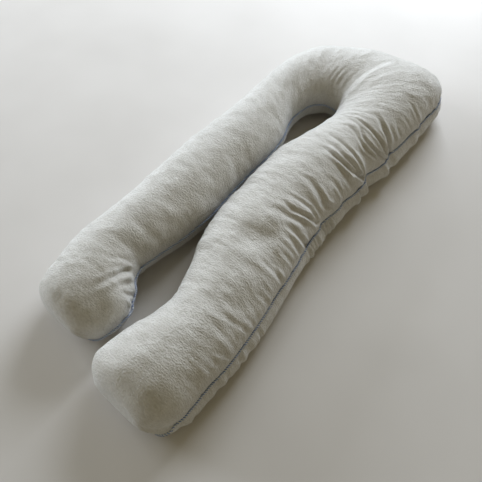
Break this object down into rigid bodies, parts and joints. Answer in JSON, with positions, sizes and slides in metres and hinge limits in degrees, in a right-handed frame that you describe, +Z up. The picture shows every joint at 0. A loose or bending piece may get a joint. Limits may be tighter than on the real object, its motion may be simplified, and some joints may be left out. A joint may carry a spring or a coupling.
{
  "type": "pregnancy pillow",
  "caption": "Full-length U-shaped body pillow of plush velour, with two stuffed arms joined by a bend and an overlocked seam at mid-height.",
  "frame": {"origin": "on the surface the pillow lies on, below the middle of its bounding box", "axes": "+Y from the arms' ends towards the bend, +Z up from the surface, +X towards the longer, gathered arm"},
  "size_m": [0.5598, 1.4572, 0.1885],
  "materials": {
    "velour": "short-pile plush velour, grey-olive, matt",
    "blue_thread": "blue overlock thread, dense stitches"
  },
  "bodies": {
    "root": {"filled_pillow": "velour", "overlocked_seam": "blue_thread"}
  },
  "joints": []
}
